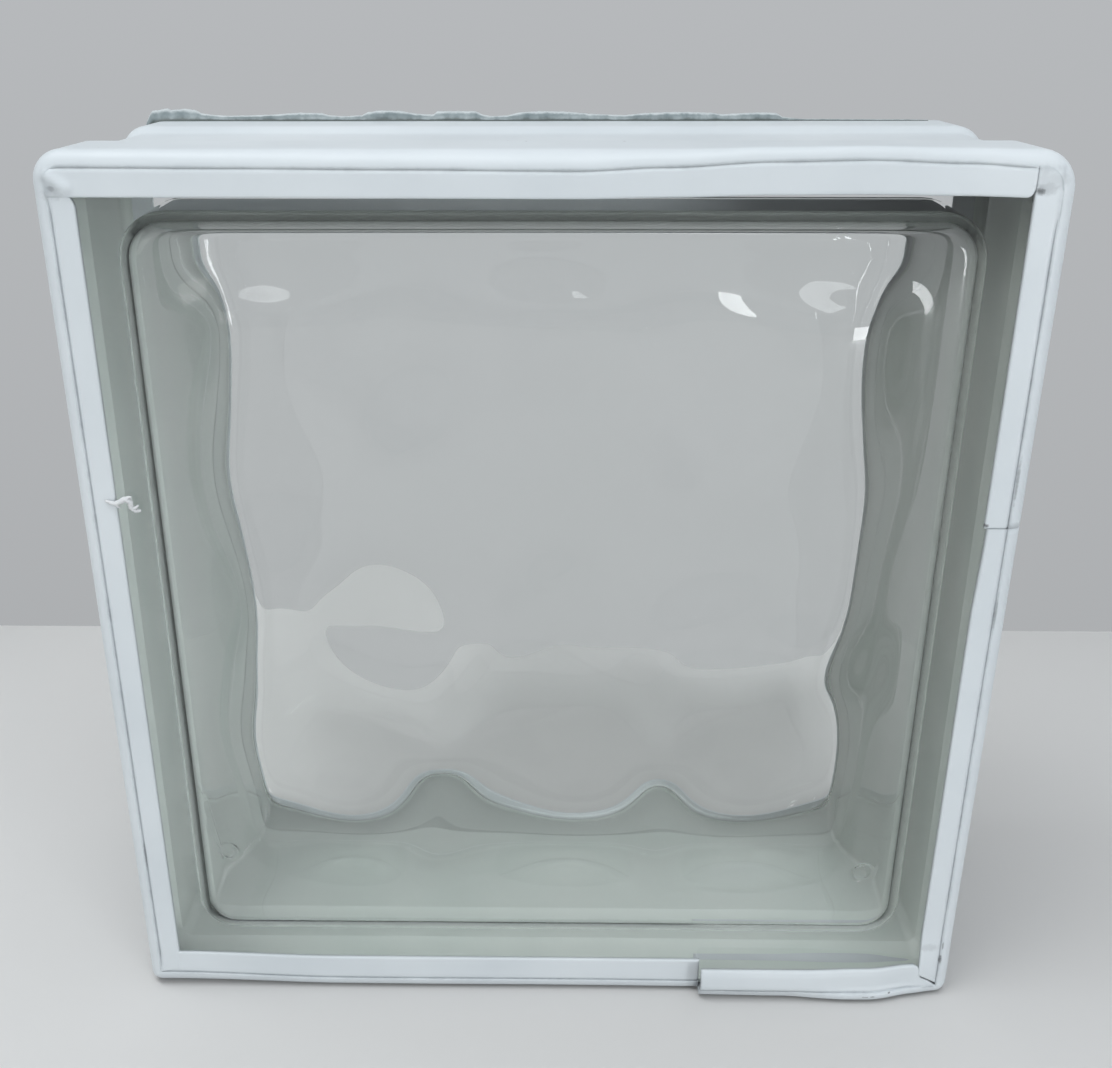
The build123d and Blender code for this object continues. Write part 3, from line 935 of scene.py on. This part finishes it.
def make_strips():
    vinyl = vinyl_material()
    corner = half_side / MM - FACE_EDGE_RADIUS
    window_across = corner - FLANGE_WIDTHS["right"]

    def mitre(amount):
        return lambda share: amount * share

    def shaped(*knots):
        """A cut drawn through (share from crease to lip, amount) knots."""
        shares, amounts = zip(*knots)
        return lambda share: float(np.interp(share, shares, amounts))

    def beside_bead(side, number):
        """Cut that follows the inner line of the rounded bead at a corner, a little under it."""
        radius = STRIP_CORNER_RADII[number] - FACE_EDGE_RADIUS
        return lambda share: radius - 0.3 - math.sqrt(max(
            radius ** 2 - max(radius - share * FLANGE_WIDTHS[side], 0) ** 2, 0))

    shoulder = shaped((0, 0.3), (0.15, 0.4), (0.3, 0.2), (0.5, 0), (0.7, 0.25), (0.85, 0.8), (0.94, 1.5),
                      (1, 2.6))
    rounded = shaped((0, 0), (0.7, 0), (0.82, 0.2), (0.92, 0.6), (0.97, 1.0), (1, 1.5))
    bottom_end = shaped((0, 0.3), (0.25, 2.2), (0.4, 4.1), (0.75, 4.6), (0.88, 4.9), (0.95, 5.4), (1, 6.2))
    right_foot = shaped((0, 0.3), (0.12, 0.9), (1, 3.6))

    long_bag = MeshBag()
    web(long_bag, (1, SIDE_JOINT + JOINT_GAP), (0, BOTTOM_JOINT - JOINT_GAP))
    for end in (-1, 1):
        flange(long_bag, "right", SIDE_JOINT + JOINT_GAP, corner, straight, beside_bead("right", 1), end,
               lift=0.12, soft=(False, True), crease=(-200, 86))
        flange(long_bag, "top", -window_across, corner, rounded, beside_bead("top", 2), end, lift=0.22,
               soft=(False, True), crease=(-90.5, 200))
        flange(long_bag, "left", -window_across - 0.4, corner, shoulder, mitre(1.0), end, lift=0.05,
               crease=(-89, 93))
        flange(long_bag, "bottom", -corner, BOTTOM_JOINT - JOINT_GAP, mitre(4.0), straight, end)
    bag_object("edge_strip_long_wrap", long_bag, False, vinyl, "edge_strip_long")

    short_bag = MeshBag()
    web(short_bag, (0, BOTTOM_JOINT + JOINT_GAP), (1, SIDE_JOINT - JOINT_GAP))
    for end in (-1, 1):
        flange(short_bag, "bottom", BOTTOM_JOINT + JOINT_GAP, corner, straight, bottom_end, end,
               crease=(-200, 91))
        flange(short_bag, "right", -corner, SIDE_JOINT - JOINT_GAP, right_foot, straight, end, lift=0.2,
               soft=(False, True))
    bag_object("edge_strip_short_wrap", short_bag, True, vinyl, "edge_strip_short")


# Torn sealant on the rear band: distance across and height of its torn edge above the band
TORN_EDGE = [
    (-98.8, 0.1), (-98.2, 1.2), (-97.3, 2.1), (-96.3, 2.9), (-95.4, 2.8), (-94.4, 2.5), (-92.4, 2.8),
    (-91.5, 2.4), (-88.3, 2.7),
    (-85.9, 2.4), (-84.5, 1.7), (-81.9, 1.3), (-78.1, 1.1), (-72.7, 1.2), (-66.7, 1.4), (-60.6, 1.8),
    (-55.3, 1.7), (-53.4, 1.2), (-49.8, 1.0), (-45.7, 1.2), (-44.2, 1.9), (-41.3, 2.3), (-36.5, 2.2),
    (-33.6, 1.7), (-30.7, 1.4), (-28.3, 1.4), (-27.5, 2.1), (-22.5, 2.1), (-18.2, 2.1), (-16.7, 1.4),
    (-14.3, 1.0), (-10.5, 1.2), (-7.6, 1.9), (-2.8, 2.1), (3.2, 2.0), (9.2, 1.5), (14.0, 1.3),
    (17.6, 1.2), (22.4, 1.7), (28.4, 1.9), (33.2, 1.9), (38.4, 1.7), (40.9, 1.4), (45.2, 1.6),
    (49.9, 1.8), (53.8, 1.7), (55.3, 0.8), (59.6, 0.35), (71.6, 0.3), (83.5, 0.25), (90.0, 0.12),
]
RESIDUE_STEP = 0.3


def torn_noise(x, seed):
    """Fine ragged change of height along the tear, about -1 to 1."""
    coarse = 0.4 * np.sin(2.9 * x + seed) * np.sin(0.61 * x)
    middle = 0.35 * np.sin(5.3 * x + 2 * seed) * np.sin(0.83 * x + 1)
    return coarse + middle + 0.35 * np.sin(9.7 * x + 3 * seed) * np.sin(1.3 * x)


def make_residue():
    """Thin torn wall of sealant on the flat of the rear band, thick at its foot and pinched at the tear."""
    places = np.arange(TORN_EDGE[0][0], TORN_EDGE[-1][0], RESIDUE_STEP)
    knots, heights = zip(*TORN_EDGE)
    height = np.interp(places, knots, heights)
    height = height + torn_noise(places, 0.7) * np.minimum(height * 0.045, 0.09)
    front = residue_low.y / MM + 0.25 * np.sin(places / 7.0) + 0.12 * torn_noise(places, 2.1)
    rear = residue_high.y / MM
    half, radius = half_side / MM, STRIP_CORNER_RADII[2]
    base = centre_height / MM + half + strip_thickness / MM + 0.02
    points, faces, levels = [], [], []
    for x, h, y in zip(places, height, front):
        past = max(abs(x) - (half - radius), 0) / (radius + 1)
        drop = (radius + 1) * (1 - math.sqrt(max(1 - past * past, 0)))
        lean = 0.35 * math.sin(x / 5.0) * h / 2.5
        section = [(y - 0.9, -0.05), (y - 0.45, 0.10), (y, 0.25 * h), (y + 0.15 + lean, 0.62 * h),
                   (y + 0.35 + lean, 0.88 * h), (y + 0.60 + lean, h), (y + 0.80 + lean, 0.97 * h),
                   (rear - 0.35 + lean, 0.8 * h), (rear - 0.05, 0.45 * h), (rear + 0.1, -0.05)]
        points += [(x, depth, base - drop + rise) for depth, rise in section]
        levels += [0, 0.05, 0.35, 0.62, 0.88, 1, 1, 0.8, 0.5, 0]
    n = len(section)
    for i in range(len(places) - 1):
        for k in range(n):
            l = (k + 1) % n
            a, b = i * n + k, i * n + l
            faces.append((a, a + n, b + n, b))
    faces.append(tuple(range(n)))
    last = (len(places) - 1) * n
    faces.append(tuple(range(last + n - 1, last - 1, -1)))
    piece = new_object("sealant_skin", np.array(points) * MM, faces, sealant_material())
    level = piece.data.attributes.new("level", "FLOAT", "POINT")
    level.data.foreach_set("value", np.array(levels, dtype=np.float32))
    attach(piece, "root")
    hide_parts("sealant_residue")


# White caulk tuft stuck on the left front flange: strands as points across, forward and up from the
# block's axis, with the strand's radius. All are millimetres.
TUFT_STRANDS = [
    [(-93.2, 41.0, 29.8, 0.25), (-92.2, 41.2, 29.5, 0.42), (-91.0, 41.4, 29.3, 0.50),
     (-89.6, 41.6, 30.0, 0.55), (-88.7, 41.7, 30.5, 0.62), (-87.9, 41.5, 29.7, 0.62),
     (-88.0, 41.3, 28.6, 0.50), (-87.2, 41.0, 27.6, 0.48), (-86.1, 40.7, 27.5, 0.26)],
    [(-88.8, 41.6, 30.3, 0.45), (-88.0, 41.9, 30.9, 0.34), (-87.3, 41.9, 30.9, 0.18)],
    [(-87.6, 41.2, 28.2, 0.40), (-86.8, 41.3, 28.5, 0.30), (-86.3, 41.3, 28.9, 0.15)],
    [(-90.9, 41.4, 29.3, 0.42), (-90.6, 41.5, 28.7, 0.25), (-90.2, 41.4, 28.4, 0.14)],
]
TUFT_SIDES = 10
TUFT_STEPS = 6


def caulk_material():
    material, tree, output = new_material("white caulk")
    shader = principled(tree, (0.85, 0.87, 0.88), 0.5)
    coordinates = tree.nodes.new("ShaderNodeTexCoord")
    noise = add_node(tree, "ShaderNodeTexNoise", Scale=900.0, Detail=3.0)
    tree.links.new(coordinates.outputs["Object"], noise.inputs["Vector"])
    tones = tree.nodes.new("ShaderNodeValToRGB")
    tones.color_ramp.elements[0].color = (0.76, 0.79, 0.81, 1)
    tones.color_ramp.elements[1].color = (0.93, 0.94, 0.95, 1)
    tree.links.new(noise.outputs["Fac"], tones.inputs["Fac"])
    tree.links.new(tones.outputs["Color"], shader.inputs["Base Color"])
    bump = add_node(tree, "ShaderNodeBump", Strength=0.5, Distance=0.0002)
    tree.links.new(noise.outputs["Fac"], bump.inputs["Height"])
    tree.links.new(bump.outputs["Normal"], shader.inputs["Normal"])
    tree.links.new(shader.outputs["BSDF"], output.inputs["Surface"])
    return material


def strand(points, faces, knots):
    """Closed tapering tube through the knots, with a small wander."""
    knots = np.array(knots)
    places = np.linspace(0, len(knots) - 1, TUFT_STEPS * (len(knots) - 1) + 1)
    line = np.stack([np.interp(places, np.arange(len(knots)), knots[:, i]) for i in range(4)], axis=1)
    line[1:-1, :3] = (line[:-2, :3] + 2 * line[1:-1, :3] + line[2:, :3]) / 4
    start, sides = len(points), TUFT_SIDES
    for i, (x, forward, z, radius) in enumerate(line):
        ahead = line[min(i + 1, len(line) - 1), :3] - line[max(i - 1, 0), :3]
        along = Vector((ahead[0], -ahead[1], ahead[2])).normalized()
        first = along.cross(Vector((0, 1, 0))).normalized()
        second = along.cross(first)
        radius = radius * (1 + 0.18 * math.sin(2.1 * i + x))
        for k in range(sides):
            angle = 2 * math.pi * k / sides
            spoke = radius * (1 + 0.12 * math.sin(3 * angle + i))
            shift = first * (spoke * math.cos(angle)) + second * (spoke * math.sin(angle))
            points.append((x + shift.x, -forward + shift.y, centre_height / MM + z + shift.z))
    for i in range(len(line) - 1):
        for k in range(sides):
            a, b = start + i * sides + k, start + i * sides + (k + 1) % sides
            faces.append((a, b, b + sides, a + sides))
    faces.append(tuple(range(start + sides - 1, start - 1, -1)))
    last = start + (len(line) - 1) * sides
    faces.append(tuple(range(last, last + sides)))


def make_tuft():
    points, faces = [], []
    for knots in TUFT_STRANDS:
        strand(points, faces, knots)
    piece = new_object("caulk_tuft", np.array(points) * MM, faces, caulk_material())
    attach(piece, "root")


make_camera()
make_stage()
make_lights()
make_glass()
make_strips()
make_residue()
make_tuft()

cycles = bpy.context.scene.cycles
cycles.max_bounces = 8
cycles.transmission_bounces = 8
cycles.glossy_bounces = 4
cycles.diffuse_bounces = 1
cycles.transparent_max_bounces = 8
cycles.caustics_refractive = True
cycles.caustics_reflective = False
bpy.context.scene.view_settings.view_transform = "Standard"
